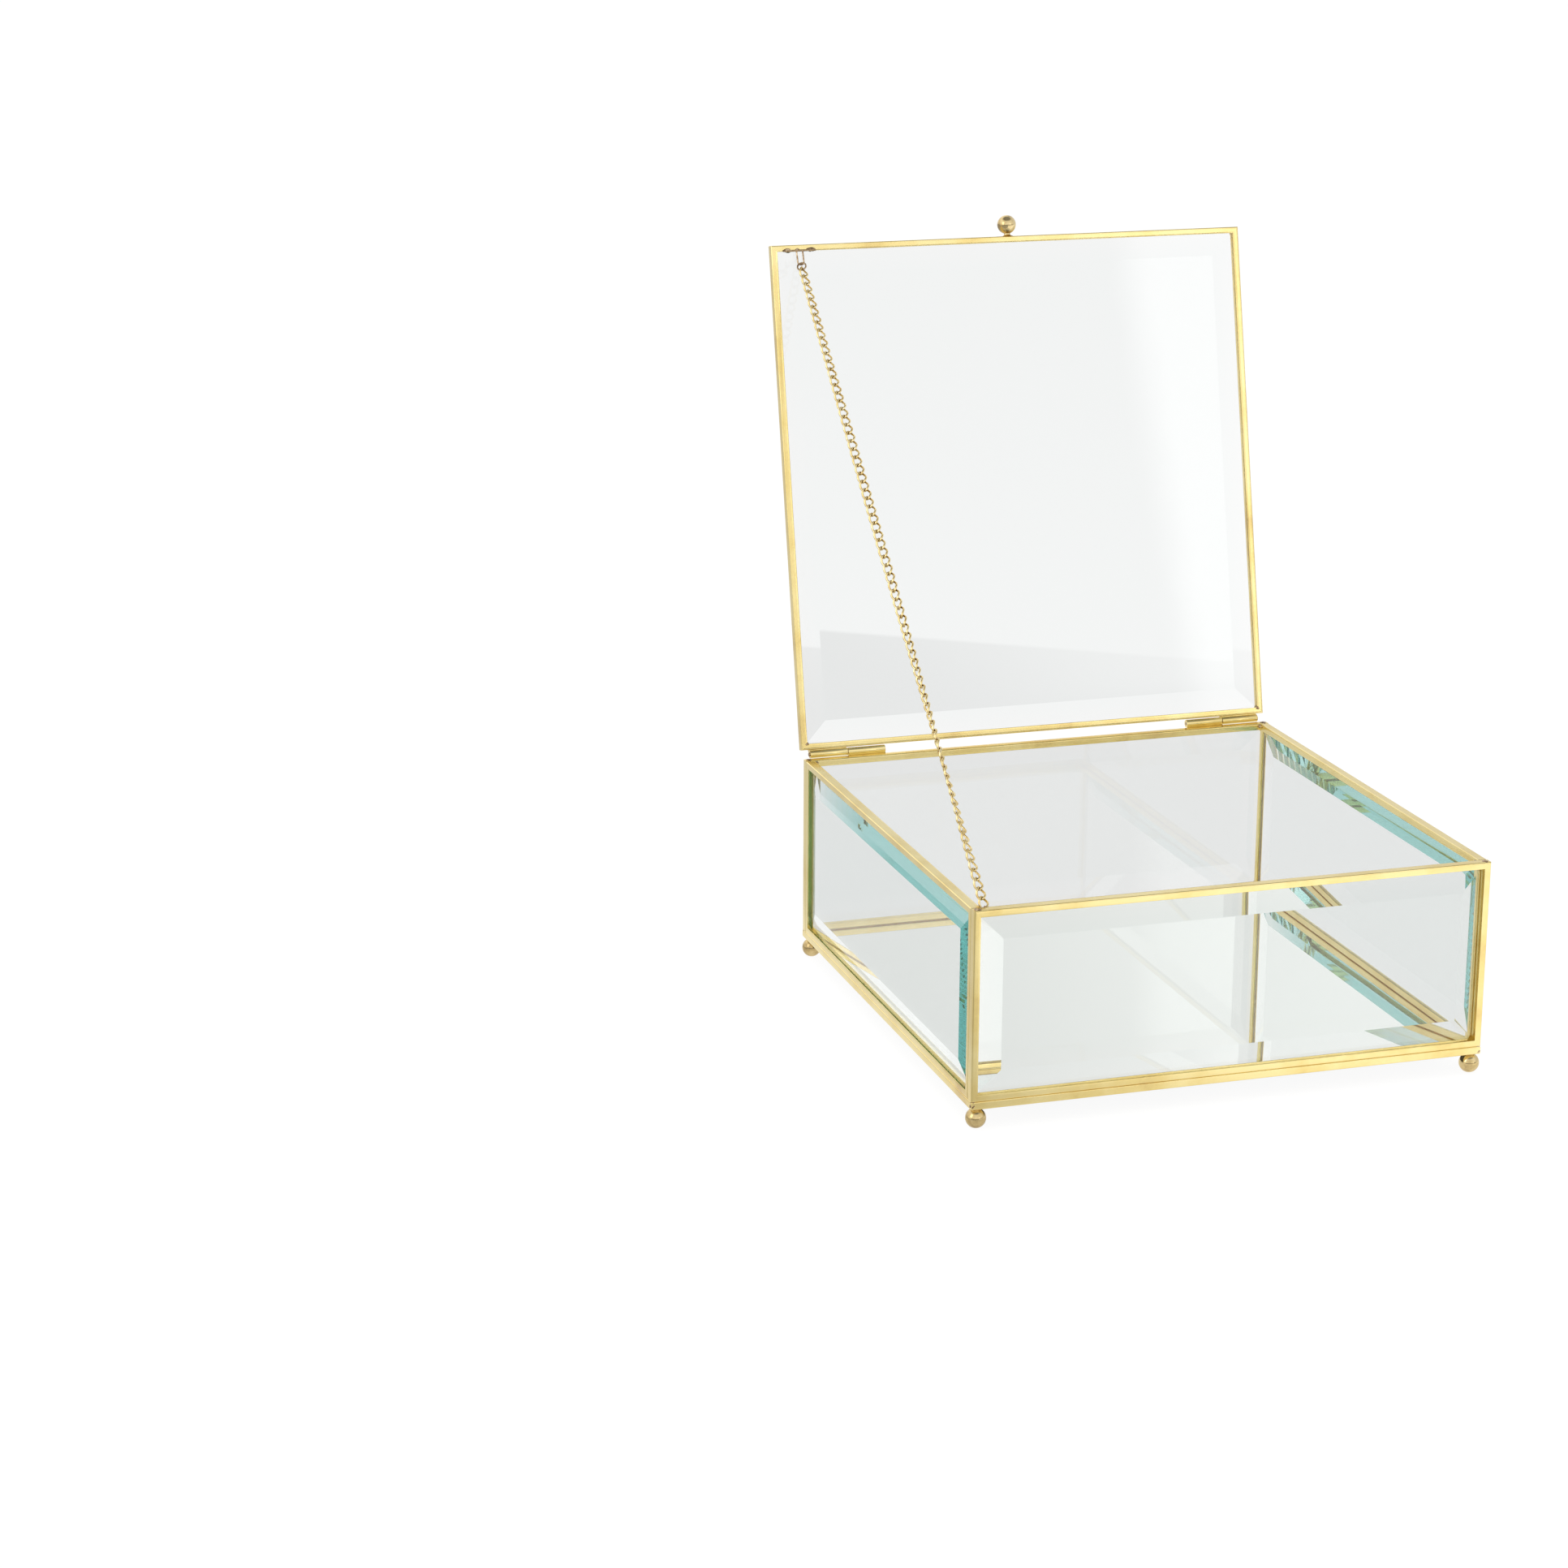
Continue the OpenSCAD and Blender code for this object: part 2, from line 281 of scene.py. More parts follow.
# %% [markdown]
# From those steps each finish gets what it shows, before and behind the box. Behind it the
# glass shows the room darker at the left, and the brass shows it darker at the right. The
# light that falls on the box is even, and to the camera the room is plain white.

# %% What each kind of ray sees
lighting_strength = 0.72

at_left = ramp_between(tree, way_x, 0.270, 0.290, 1.18, 1.02)
facing_brass = mixed(tree, high_up, mixed(tree, screen, at_left, screen_in_brass), high_front)
front_in_brass = mixed(tree, not_low, dark_stretch, facing_brass)
back_in_brass = ramp_between(tree, way_x, 0.28, 0.42, 1.28, 0.82)
round_brass = mixed(tree, ahead, back_in_brass, front_in_brass)
room_in_brass = mixed(tree, ceiling, round_brass, ceiling_tone)

facing_glass = mixed(tree, screen, front_tone_in_glass, screen_in_glass)
front_in_glass = mixed(tree, high_up, facing_glass, front_tone_in_glass)
back_in_glass = ramp_between(tree, way_x, 0.30, 0.44, 0.86, 1.03)
room_in_glass = mixed(tree, ahead, back_in_glass, front_in_glass)


def white_light(tree, strength):
    """White light from the room; strength is a number or a socket."""
    node = add(tree, "ShaderNodeBackground")
    node.inputs["Color"].default_value = (1, 1, 1, 1)
    if isinstance(strength, float):
        node.inputs["Strength"].default_value = strength
    else:
        tree.links.new(strength, node.inputs["Strength"])
    return node.outputs[0]


def either(tree, factor, off, on):
    """One shader where factor is 0, and another where it is 1."""
    node = add(tree, "ShaderNodeMixShader")
    tree.links.new(factor, node.inputs[0])
    tree.links.new(off, node.inputs[1])
    tree.links.new(on, node.inputs[2])
    return node.outputs[0]


rays = add(tree, "ShaderNodeLightPath").outputs
room = either(tree, rays["Is Glossy Ray"],
              white_light(tree, lighting_strength), white_light(tree, room_in_brass))
room = either(tree, rays["Is Transmission Ray"], room, white_light(tree, room_in_glass))
room = either(tree, rays["Is Camera Ray"], room, white_light(tree, 1.0))
tree.links.new(room, add(tree, "ShaderNodeOutputWorld").inputs["Surface"])
print("room:", len(tree.nodes), "nodes")

# %% [markdown]
# Two wide lamps, one overhead and one at the left, round off the light. They are wide so that
# the shadows are soft, and polished brass doesn't mirror the one overhead.

# %% The lamps
def soft_lamp(name, place, aim, width, height, power):
    """A wide rectangular lamp that points at a spot on the box."""
    lamp = bpy.data.lights.new(name, "AREA")
    lamp.shape, lamp.size, lamp.size_y, lamp.energy = "RECTANGLE", width, height, power
    holder = bpy.data.objects.new(name, lamp)
    bpy.context.collection.objects.link(holder)
    holder.location = place
    aim_line = Vector(aim) - Vector(place)
    holder.rotation_euler = aim_line.to_track_quat("-Z", "Y").to_euler()
    return holder


overhead = soft_lamp("overhead_lamp", (-0.3, 0.1, 1.9), (0, 0, 0.1), 1.6, 1.6, 9.0)
overhead.visible_glossy = False
soft_lamp("left_lamp", (-1.9, -0.6, 1.1), (0, 0, 0.15), 1.0, 1.2, 5.0)

# %% [markdown]
# Light that is caught in a bevel goes to and fro between the two faces of the glass, up to a
# hundred times, before it leaves at the pane's far end. A path that is cut short shows as
# black, so the number of turns that a path may take is raised.

# %% Long paths for glass
turns_in_glass = 160
scene.cycles.max_bounces = turns_in_glass
scene.cycles.transmission_bounces = turns_in_glass
scene.cycles.glossy_bounces = turns_in_glass
print("turns that a path may take:", scene.cycles.max_bounces)

# %% [markdown]
# ## Brass
#
# The channel is thin brass strip, rolled and bent, with a satin shine. Heat from soldering
# has tanned it in soft patches. The base is a metallic shader. One noise, stretched along the
# strip, makes the faint lines of the rolling and goes into the bump and the roughness; a
# second, broad one tints the colour. The lines must run along each strip, so there is one
# material for each direction that strips have.

# %% Helpers for a finish
def noise_at(tree, coordinates, scale, detail=3.0, roughness=0.55):
    """A noise, finer the larger its scale is."""
    node = add(tree, "ShaderNodeTexNoise")
    node.inputs["Scale"].default_value = scale
    node.inputs["Detail"].default_value = detail
    node.inputs["Roughness"].default_value = roughness
    tree.links.new(coordinates, node.inputs["Vector"])
    return node.outputs["Fac"]


def steps(tree, factor, *stops):
    """A colour ramp with the given (position, colour) stops."""
    node = add(tree, "ShaderNodeValToRGB")
    ramp = node.color_ramp
    while len(ramp.elements) < len(stops):
        ramp.elements.new(0.5)
    for element, (position, colour) in zip(ramp.elements, stops):
        element.position, element.color = position, (*colour, 1)
    tree.links.new(factor, node.inputs["Fac"])
    return node.outputs["Color"]


def bump_from(tree, shader, height, distance, strength=1.0):
    """Lets a noise stand for small highs and lows of the surface."""
    node = add(tree, "ShaderNodeBump")
    node.inputs["Distance"].default_value = distance
    node.inputs["Strength"].default_value = strength
    tree.links.new(height, node.inputs["Height"])
    tree.links.new(node.outputs["Normal"], shader.inputs["Normal"])


def spread(tree, value, low, high, start=0.3, end=0.7):
    """Goes evenly from low to high over the middle of a noise's range."""
    return ramp_between(tree, value, start, end, low, high, "LINEAR")


def object_place(tree):
    """Where a point of the surface is, so that noises stay with the piece."""
    return add(tree, "ShaderNodeTexCoord").outputs["Object"]


print("five helpers for finishes are ready")

# %% [markdown]
# The satin brass is then one function with a turn and a stretch for the lines. The lid leans
# back, so its side strips need their lines turned by the same angle.

# %% Brass for a direction
open_angle = 102.7
lean = radians(open_angle - 90)
pale = (0.885, 0.735, 0.35)
deep = (0.82, 0.645, 0.26)
tanned = (0.66, 0.475, 0.19)
long_way_scale = 0.02


def drawn_brass(name, turn, stretch):
    """Brass strip whose faint lines run along the axis that stretch makes long."""
    material, tree, shader = new_material(name)
    shader.inputs["Metallic"].default_value = 1.0
    where = object_place(tree)
    turned = add(tree, "ShaderNodeMapping")
    turned.inputs["Rotation"].default_value = turn
    long_way = add(tree, "ShaderNodeMapping")
    long_way.inputs["Scale"].default_value = stretch
    tree.links.new(where, turned.inputs["Vector"])
    tree.links.new(turned.outputs[0], long_way.inputs["Vector"])
    lines = noise_at(tree, long_way.outputs[0], 3000.0, 3.0)
    patches = noise_at(tree, where, 30.0, 4.0, 0.6)
    colour = steps(tree, patches, (0.26, tanned), (0.40, deep), (0.58, pale))
    tree.links.new(colour, shader.inputs["Base Color"])
    tree.links.new(spread(tree, lines, 0.17, 0.25), shader.inputs["Roughness"])
    bump_from(tree, shader, lines, 0.00001, 0.3)
    return material


brass_along = {
    "x": drawn_brass("brass_along_the_width", (0, 0, 0), (long_way_scale, 1, 1)),
    "y": drawn_brass("brass_along_the_depth", (0, 0, 0), (1, long_way_scale, 1)),
    "z": drawn_brass("brass_upright", (0, 0, 0), (1, 1, long_way_scale)),
    "lid": drawn_brass("brass_up_the_lid", (lean, 0, 0), (1, 1, long_way_scale)),
}
print("brass finishes:", [m.name for m in brass_along.values()])

# %% [markdown]
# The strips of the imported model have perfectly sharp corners, and no folded strip has: the
# brass rolls round, and the rolled corners catch the dark and bright lines that make channel
# look like channel. Each strip is therefore drawn again as the real one is made: a U-shaped
# outline, rounded at its folds and its lips, pulled along the strip's length and cut to a
# mitre at both ends. Its faces are hollowed by a few hundredths of a millimetre, unevenly,
# because a hand has straightened it. Where two strips lie together, their rolled corners
# leave the brown groove that runs along the foot of the walls.

# %% The outline of a channel, in millimetres
web_wide = 4.8
base_web = 3.8
leg = 3.2
metal = 0.4
fold = 0.55
lip = 0.15


def arc(centre, radius, start, end, pieces=4):
    """Points on an arc, from one angle to another in degrees."""
    turns = (radians(start + (end - start) * i / pieces) for i in range(pieces + 1))
    return [(centre[0] + radius * cos(a), centre[1] + radius * sin(a)) for a in turns]


def channel_outline(web):
    """A closed outline: how deep behind the web's face, and how far across the web."""
    deep = leg - lip
    inside = fold - metal
    outline = [(deep * t, 0.0) for t in (0.7, 0.45)]
    outline += arc((fold, fold), fold, 270, 180)
    outline += [(0.0, web * t) for t in (0.35, 0.5, 0.65)]
    outline += arc((fold, web - fold), fold, 180, 90)
    outline += [(deep * t, web) for t in (0.45, 0.7)]
    outline += arc((deep, web - lip), lip, 90, -90, 4)
    outline += arc((fold, web - fold), inside, 90, 180, 2)
    outline += arc((fold, fold), inside, 180, 270, 2)
    outline += arc((deep, lip), lip, 90, -90, 4)
    return outline


print("points round a wall's channel:", len(channel_outline(web_wide)))

# %% [markdown]
# The outline is pulled along the strip in a row of rings. A ring's points that lie deeper
# behind the web start later and end earlier, which cuts the mitres.

# %% A rolled strip
deepest_hollow = 0.035
hollow_length = 31.0
hollow_width = 9.0
strip_apart = 7.3
nearly = 0.01


def hollowed(deep, across, web, along, seed):
    """Moves a point of an outer face inwards by the strip's small unevenness."""
    spot = (along / hollow_length, seed * strip_apart, across / hollow_width)
    wave = 0.5 + 0.5 * noise.noise(spot)
    sink = deepest_hollow * wave
    on_leg = fold < deep < leg - 2 * lip
    if deep < nearly:
        deep += sink * 4 * (across / web) * (1 - across / web)
    elif across < nearly and on_leg:
        across += sink
    elif across > web - nearly and on_leg:
        across -= sink
    return deep, across


def rolled_strip(name, length, web, placement, seed, finish, rows=25):
    """A mitred channel strip. placement turns (along, deep, across) in mm to the frame."""
    outline = channel_outline(web)
    bm = bmesh.new()
    rings = []
    for row in range(rows):
        share = row / (rows - 1)
        ring = []
        for deep, across in outline:
            along = deep + (length - 2 * deep) * share
            d, c = hollowed(deep, across, web, along, seed)
            ring.append(bm.verts.new((placement @ Vector((along, d, c))) / 1000))
        rings.append(ring)
    around = len(outline)
    for one, two in zip(rings, rings[1:]):
        for i in range(around):
            j = (i + 1) % around
            bm.faces.new((one[i], one[j], two[j], two[i])).smooth = True
    for ring in (rings[0], rings[-1]):
        bm.faces.new([bm.verts.new(vertex.co) for vertex in ring])
    bmesh.ops.recalc_face_normals(bm, faces=bm.faces)
    return piece_of(bm, name, finish)


print("deepest hollow of a face:", deepest_hollow, "mm")

# %% [markdown]
# Every panel is a frame of four strips. A panel's own plane has its width to the right and
# its height upwards, and the third direction points out of the box. Four walls and the floor
# make the case, and the lid is the sixth panel, leaning back about the hinge line.

# %% Where the panels are, in millimetres
half = 127.0
base_bottom, wall_bottom, rim, lid_bottom = 9.6, 13.4, 104.2, 105.5
hinge_line = Vector((0, 129.3, 105.6))
open_turn = Matrix.Rotation(radians(-open_angle), 4, "X")
swing = Matrix.Translation(hinge_line) @ open_turn @ Matrix.Translation(-hinge_line)


def plane(corner, width_way, height_way):
    """The frame of a panel: its lower left corner, and the ways its width and height go."""
    right, up = Vector(width_way), Vector(height_way)
    out = right.cross(up)
    turn = Matrix((right, up, out)).transposed().to_4x4()
    return Matrix.Translation(corner) @ turn


inner = half - web_wide
wall_h = rim - wall_bottom
panels = {
    "front": (plane((-half, -inner, wall_bottom), (1, 0, 0), (0, 0, 1)),
              2 * half, wall_h, web_wide),
    "back": (plane((half, inner, wall_bottom), (-1, 0, 0), (0, 0, 1)),
             2 * half, wall_h, web_wide),
    "left": (plane((-inner, inner, wall_bottom), (0, -1, 0), (0, 0, 1)),
             2 * inner, wall_h, web_wide),
    "right": (plane((inner, -inner, wall_bottom), (0, 1, 0), (0, 0, 1)),
              2 * inner, wall_h, web_wide),
    "base": (plane((-half, -half, base_bottom), (1, 0, 0), (0, 1, 0)),
             2 * half, 2 * half, base_web),
    "lid": (swing @ plane((-half, -half, lid_bottom), (1, 0, 0), (0, 1, 0)),
            2 * half, 2 * half, web_wide),
}
print("panels:", list(panels))

# %% [markdown]
# A strip is drawn for every side of every panel. It rides on the lid or on the case, and it
# replaces the square-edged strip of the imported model.

# %% All the strips
flat_sides = ("front", "right", "back", "left")
upright_sides = ("bottom", "right", "top", "left")


def strip_direction(panel, side):
    """Which of the brass finishes has its lines along this strip."""
    if panel == "base":
        return "x" if side in ("front", "back") else "y"
    if panel == "lid":
        return "x" if side in ("front", "back") else "lid"
    if side in ("left", "right"):
        return "z"
    return "x" if panel in ("front", "back") else "y"


strips = []
for panel, (place, width, height, web) in panels.items():
    side_names = flat_sides if panel in ("base", "lid") else upright_sides
    corners = ((0, 0), (width, 0), (width, height), (0, height))
    for number, (side, corner) in enumerate(zip(side_names, corners)):
        turned = Matrix.Translation((*corner, 0)) @ Matrix.Rotation(number * pi / 2, 4, "Z")
        length = width if number % 2 == 0 else height
        strip = rolled_strip(f"rolled_{panel}_{side}", length, web, place @ turned,
                             len(strips), brass_along[strip_direction(panel, side)])
        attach(strip, "lid" if panel == "lid" else "case")
        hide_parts(f"{panel}_channel_{side}")
        strips.append(strip)
print("rolled strips:", len(strips))

# %% [markdown]
# ## Balls and hinges
#
# The feet and the knob are turned balls. They are polished brighter than the strip, with no
# lines, but the finish has fine dimples and a brown bloom in broad patches. The hinge tubes
# are short lengths of brass tube. All of these are solids of the imported model: they could be
# drawn again as the strips were, but their shapes are right already, so they only get a
# finish, and the tubes also a rounded edge. Rounding by modifiers leaves the solid alone.

# %% A finish for a solid, and rounded edges
tube_edge = 0.00012
same_corner = 0.000002


def paint(piece, material):
    """Gives all of a solid's faces one finish, in the slots it already has."""
    for slot_number in range(len(piece.data.materials)):
        piece.data.materials[slot_number] = material


def soften(piece, width, segments=2):
    """Rounds a solid's edges with modifiers, so the solid itself is left alone."""
    weld = piece.modifiers.new("join corners", "WELD")
    weld.merge_threshold = same_corner
    rounded = piece.modifiers.new("round edges", "BEVEL")
    rounded.width = width
    rounded.segments = segments
    rounded.limit_method = "ANGLE"
    rounded.angle_limit = radians(30)


print("edges of the tubes are rounded by", tube_edge * 1000, "mm")

# %% [markdown]
# The turned brass is made like the strip's, from two noises: a broad one for the bloom and a
# fine one for the dimples.

# %% Turned brass
turned_brass, tree, shader = new_material("turned_brass")
shader.inputs["Metallic"].default_value = 1.0
where = object_place(tree)
bloom = noise_at(tree, where, 120.0, 4.0, 0.6)
bloomed = steps(tree, bloom, (0.30, (0.36, 0.26, 0.12)), (0.46, (0.62, 0.47, 0.22)),
                (0.66, (0.82, 0.67, 0.38)))
tree.links.new(bloomed, shader.inputs["Base Color"])
dimples = noise_at(tree, where, 900.0, 3.0)
tree.links.new(spread(tree, dimples, 0.10, 0.22), shader.inputs["Roughness"])
bump_from(tree, shader, dimples, 0.00003, 0.5)

turned_pieces = []
for name in nodes:
    if name == "knob" or name.startswith("foot_"):
        paint(nodes[name], turned_brass)
        turned_pieces.append(name)
    elif "_knuckle_" in name:
        paint(nodes[name], brass_along["x"])
        soften(nodes[name], tube_edge)
print("turned pieces:", turned_pieces)

# %% [markdown]
# ## Solder
#
# A maker joins the strips with soft solder, then gilds the whole box, so the solder shows as
# small uneven lumps, duller and browner than the brass. Its material has a rough, blotched
# colour. The eye, the staple and the hinge pins are wire that was dipped in the same bath.

# %% Solder finish
solder, tree, shader = new_material("gilded_solder")
shader.inputs["Metallic"].default_value = 1.0
where = object_place(tree)
blotches = noise_at(tree, where, 420.0, 5.0, 0.65)
tree.links.new(steps(tree, blotches, (0.36, (0.20, 0.12, 0.07)), (0.52, (0.46, 0.32, 0.18)),
                     (0.70, (0.88, 0.75, 0.56))), shader.inputs["Base Color"])
grain = noise_at(tree, where, 1500.0, 3.0)
tree.links.new(spread(tree, grain, 0.14, 0.38), shader.inputs["Roughness"])
bump_from(tree, shader, grain, 0.00008, 0.7)

wire_pieces = ("chain_eye", "lid_staple", "hinge_pin_left", "hinge_pin_right")
for name in wire_pieces:
    paint(nodes[name], solder)
print("solder finish on:", wire_pieces)

# %% [markdown]
# A lump of solder is a drop that froze before it had flowed flat. Each one starts as a ball
# of triangles that is squeezed to size, and noise then moves its points in and out. The
# noise is read at the lump's own place, so no two are alike and every run gives the same.

# %% A solder lump
def solder_lump(name, place, size, body, tilt=0.0, uneven=0.28):
    """An uneven drop of solder. place and size are in millimetres."""
    bm = bmesh.new()
    bmesh.ops.create_icosphere(bm, subdivisions=3, radius=1.0)
    centre = Vector(place) / 1000
    reach = Vector(size) / 1000
    turn = Matrix.Rotation(tilt, 3, "X")
    for vertex in bm.verts:
        wave = noise.noise(vertex.co * 1.3 + centre * 900) * uneven
        ripple = noise.noise(vertex.co * 3.1 + centre * 500) * uneven * 0.4
        point = vertex.co * (1.0 - uneven + wave + ripple)
        vertex.co = centre + turn @ Vector(p * r for p, r in zip(point, reach))
    for face in bm.faces:
        face.smooth = True
    lump = piece_of(bm, name, solder)
    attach(lump, body)
    return lump


print("finish of the lumps:", solder.name)

# %% [markdown]
# On the case there are four drops at every corner: on the rim, inside it, at the seam of the
# wall's foot and over the ball. The front corners have one more at the foot, and the eye of
# the chain stands in its own. Placing them by corner keeps them in step with the case.

# %% Solder on the case
sides = (("left", -1), ("right", 1))
ends = (("front", -1), ("back", 1))
# For each drop at a corner: how far in from the case's sides, its height, and its size.
corner_drops = {
    "rim_solder": (2.2, rim - 0.2, (2.4, 2.6, 0.75)),
    "inner_solder": (5.4, rim - 1.0, (1.3, 1.3, 1.2)),
    "seam_solder": (1.4, wall_bottom + 0.1, (1.9, 1.9, 1.5)),
    "foot_solder": (3.7, base_bottom - 0.4, (3.4, 3.4, 0.75)),
}
case_lumps = []
for end, sy in ends:
    for side, sx in sides:
        for kind, (inset, height, size) in corner_drops.items():
            place = (sx * (half - inset), sy * (half - inset), height)
            case_lumps.append(solder_lump(f"{kind}_{end}_{side}", place, size, "case"))
front_inset = 0.9
for side, sx in sides:
    place = (sx * (half - front_inset), front_inset - half, base_bottom + 1.6)
    case_lumps.append(solder_lump(f"corner_solder_front_{side}", place, (1.7, 1.7, 2.0),
                                  "case", uneven=0.35))
case_lumps.append(solder_lump("eye_solder", (-120.0, -121.9, 101.0), (1.3, 0.55, 1.0),
                              "case", uneven=0.35))
case_lumps.append(solder_lump("rim_solder_at_eye", (-118.2, -121.8, 103.4),
                              (2.4, 0.9, 0.7), "case"))
print("solder lumps on the case:", len(case_lumps))

# %% [markdown]
# The lid has drops at its back corners, and larger ones where the rod of the staple is joined
# to it. They are placed on the closed lid and then swung open with it. Each hinge has two
# drops of its own where its tube is joined to the rim of the case.

# %% Solder on the lid and at the hinges
lid_lumps = (
    ("rod_end_left", (-118.7, -124.3, 105.3), (3.4, 1.5, 1.0)),
    ("rod_end_right", (-106.2, -124.3, 105.3), (3.8, 1.5, 1.0)),
    ("rod_middle", (-113.2, -124.4, 105.4), (1.6, 1.0, 0.7)),
    ("lid_corner_back_left", (-124.0, 124.0, 105.7), (1.5, 1.3, 0.7)),
    ("lid_corner_back_right", (124.0, 124.0, 105.7), (1.4, 1.5, 0.7)),
)
lid_uneven = 0.34
for name, place, size in lid_lumps:
    solder_lump(f"{name}_solder", swing @ Vector(place), size, "lid", radians(-open_angle),
                lid_uneven)
# For each drop at a hinge: how far it is from the middle of the box, and its length.
hinge_drops = {"inner": (84.6, 2.6), "outer": (101.6, 1.9)}
for side, sx in sides:
    for kind, (out, length) in hinge_drops.items():
        place = (sx * out, half + 0.2, rim - 0.9)
        solder_lump(f"hinge_solder_{kind}_{side}", place, (length, 0.8, 0.9), "case")
print("solder lumps on the lid:", len(lid_lumps), "at each hinge:", len(hinge_drops))

# %% [markdown]
# ## Glass
#
# Plate glass is almost clear through its thickness and sea green along its length. One
# substance does both: the shader bends the light, and the volume inside takes a little red
# for every millimetre that the light travels. Across a pane that is nothing. In the bevels,
# where light is caught between the faces and runs the length of the pane, it adds up to the
# teal bands under the rims. The panes are real plates with real bevels, so these bands come
# out by themselves. Glass would block lamps from reaching what is inside, so light that is
# on its way to a lamp passes straight through, a little dimmed.

# %% Glass finish
glass_bends = 1.52
sea_green = (0.42, 0.80, 0.78)
green_depth = 12.0


def plate_glass(name, tone, smear):
    """Plate glass with a green body. smear is how dull its most fingered spots are."""
    material, tree, shader = new_material(name)
    shader.inputs["Base Color"].default_value = (*tone, 1)
    shader.inputs["Transmission Weight"].default_value = 1.0
    shader.inputs["IOR"].default_value = glass_bends
    where = object_place(tree)
    film = noise_at(tree, where, 26.0, 5.0, 0.65)
    tree.links.new(spread(tree, film, 0.0, smear, 0.5, 0.75), shader.inputs["Roughness"])
    ripple = noise_at(tree, where, 14.0, 2.0)
    bump_from(tree, shader, ripple, 0.00012, 0.25)
    inside = add(tree, "ShaderNodeVolumeAbsorption")
    inside.inputs["Color"].default_value = (*sea_green, 1)
    inside.inputs["Density"].default_value = green_depth
    through = add(tree, "ShaderNodeBsdfTransparent")
    through.inputs["Color"].default_value = (0.90, 0.91, 0.90, 1)
    path = add(tree, "ShaderNodeLightPath")
    choice = add(tree, "ShaderNodeMixShader")
    tree.links.new(path.outputs["Is Shadow Ray"], choice.inputs[0])
    tree.links.new(shader.outputs[0], choice.inputs[1])
    tree.links.new(through.outputs[0], choice.inputs[2])
    output = tree.nodes["Material Output"]
    tree.links.new(choice.outputs[0], output.inputs["Surface"])
    tree.links.new(inside.outputs[0], output.inputs["Volume"])
    return material


clear_plate = plate_glass("clear_plate_glass", (0.975, 0.97, 0.965), 0.02)
panes = [name for name in nodes if name.endswith("_pane")]
for name in panes:
    paint(nodes[name], clear_plate)
print("panes:", panes)

# %% [markdown]
# ## The mirror floor
#
# The floor is a plain mirror, face up, with its silver on the underside. From above it must
# be a true reflection with the faint green of the glass, and from below it is grey backing
# paint. One material serves: the direction that a face points chooses between the two.

# %% Mirror finish
faces_down = -0.5

mirror, tree, shader = new_material("silvered_mirror")
shader.inputs["Base Color"].default_value = (0.925, 0.935, 0.91, 1)
shader.inputs["Metallic"].default_value = 1.0
where = object_place(tree)
dust = noise_at(tree, where, 70.0, 6.0, 0.7)
tree.links.new(spread(tree, dust, 0.0, 0.03, 0.5, 0.8), shader.inputs["Roughness"])
backing = add(tree, "ShaderNodeBsdfDiffuse")
speckle = noise_at(tree, where, 600.0, 4.0)
tree.links.new(steps(tree, speckle, (0.35, (0.20, 0.20, 0.19)), (0.65, (0.30, 0.30, 0.29))),
               backing.inputs["Color"])
facing = add(tree, "ShaderNodeSeparateXYZ")
tree.links.new(add(tree, "ShaderNodeNewGeometry").outputs["True Normal"], facing.inputs[0])
underside = add(tree, "ShaderNodeMath", operation="LESS_THAN")
underside.inputs[1].default_value = faces_down
tree.links.new(facing.outputs["Z"], underside.inputs[0])
choice = add(tree, "ShaderNodeMixShader")
tree.links.new(underside.outputs[0], choice.inputs[0])
tree.links.new(shader.outputs[0], choice.inputs[1])
tree.links.new(backing.outputs[0], choice.inputs[2])
tree.links.new(choice.outputs[0], tree.nodes["Material Output"].inputs["Surface"])
paint(nodes["mirror_floor"], mirror)
print("mirror floor:", [round(v, 4) for v in nodes["mirror_floor"].dimensions])

# %% [markdown]
# ## The chain
#
# The stay is a gilt curb chain. Gilding stays bright where the links rub on each other and on
# a cloth, and the narrow places between them are darkened by painted shade. The shade could
# be painted by hand, but ambient occlusion finds those places by itself: it tells how much of
# the space around a point is open. The gold shows in the open, and the narrow places get a
# dark brown that is painted shade.

# %% Gilt wire
# Painted shade between the links: its brown, and how far round a point it looks for closed
# space.
painted_shade_brown = (0.26, 0.15, 0.06)
shade_reach = 0.0022

gilt, tree, shader = new_material("gilt_wire")
shader.inputs["Metallic"].default_value = 1.0
where = object_place(tree)
rub = noise_at(tree, where, 260.0, 4.0, 0.6)
gold = steps(tree, rub, (0.32, (0.74, 0.54, 0.22)), (0.50, (0.88, 0.70, 0.34)),
             (0.70, (0.96, 0.84, 0.52)))
crevice = add(tree, "ShaderNodeAmbientOcclusion", samples=6)
crevice.inputs["Distance"].default_value = shade_reach
tree.links.new(gold, crevice.inputs["Color"])
open_share = ramp_between(tree, crevice.outputs["AO"], 0.38, 0.80, 0.0, 1.0)
# Painted shade: the colour turns dark brown where ambient occlusion finds narrow places.
painted_shade = add(tree, "ShaderNodeMix", data_type="RGBA")
painted_shade.inputs["A"].default_value = (*painted_shade_brown, 1)
tree.links.new(open_share, painted_shade.inputs["Factor"])
tree.links.new(gold, painted_shade.inputs["B"])
tree.links.new(painted_shade.outputs["Result"], shader.inputs["Base Color"])
fine = noise_at(tree, where, 1800.0, 2.0)
tree.links.new(spread(tree, fine, 0.07, 0.18), shader.inputs["Roughness"])
bump_from(tree, shader, fine, 0.00002, 0.4)
print("gilt wire:", len(tree.nodes), "nodes")

# %% [markdown]
# Every link of a curb chain is an oval of wire, twisted by a quarter turn so that the links
# lie flat on each other. Walking round the oval, the wire's point is at an angle that swings
# from one side to the other, which turns the two ends by forty-five degrees each way, so that
# each end crosses the next link's end squarely. A curve object with a bevel could make the
# oval too, but a swept mesh can be twisted point by point.

